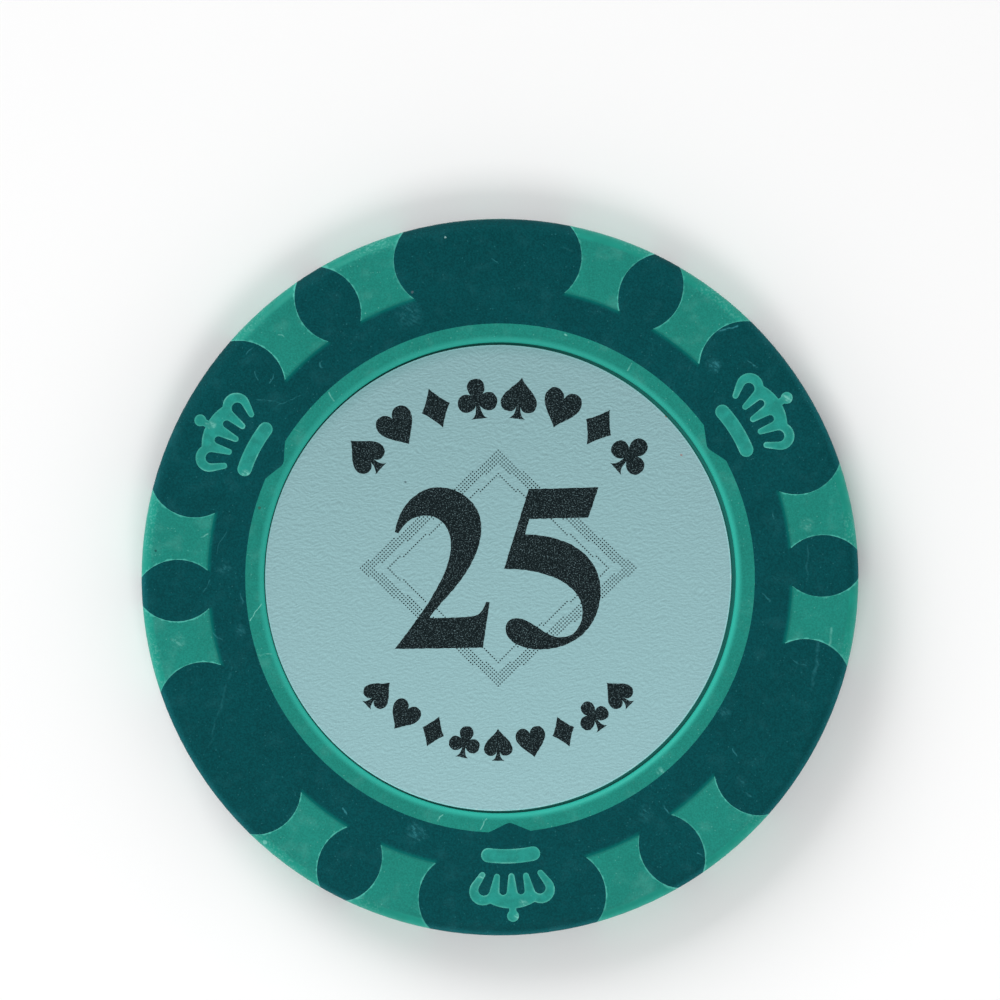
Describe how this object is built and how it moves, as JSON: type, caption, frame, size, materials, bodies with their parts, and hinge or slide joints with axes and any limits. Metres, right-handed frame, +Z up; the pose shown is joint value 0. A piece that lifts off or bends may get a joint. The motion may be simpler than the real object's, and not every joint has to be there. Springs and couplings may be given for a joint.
{
  "type": "poker chip",
  "caption": "Round two-colour moulded gaming chip with a steel slug inside and a round printed label in a recess on each face.",
  "frame": {"origin": "centre of the face that the chip rests on", "axes": "+Z up along the chip's axis; -Y points to the middle of one crown, and +X to the middle of a pair of rim spots"},
  "size_m": [0.04, 0.04, 0.0035],
  "materials": {
    "slug_steel": "satin",
    "dark_plastic": "matte",
    "light_plastic": "matte",
    "label_adhesive": "satin",
    "label_paper": "matte",
    "label_film": "satin"
  },
  "bodies": {
    "root": {"steel_slug": "slug_steel", "base_moulding": "dark_plastic", "spot_moulding": "light_plastic", "front_label_adhesive": "label_adhesive", "front_label_paper": "label_paper", "front_label_film": "label_film", "back_label_adhesive": "label_adhesive", "back_label_paper": "label_paper", "back_label_film": "label_film"}
  },
  "joints": []
}
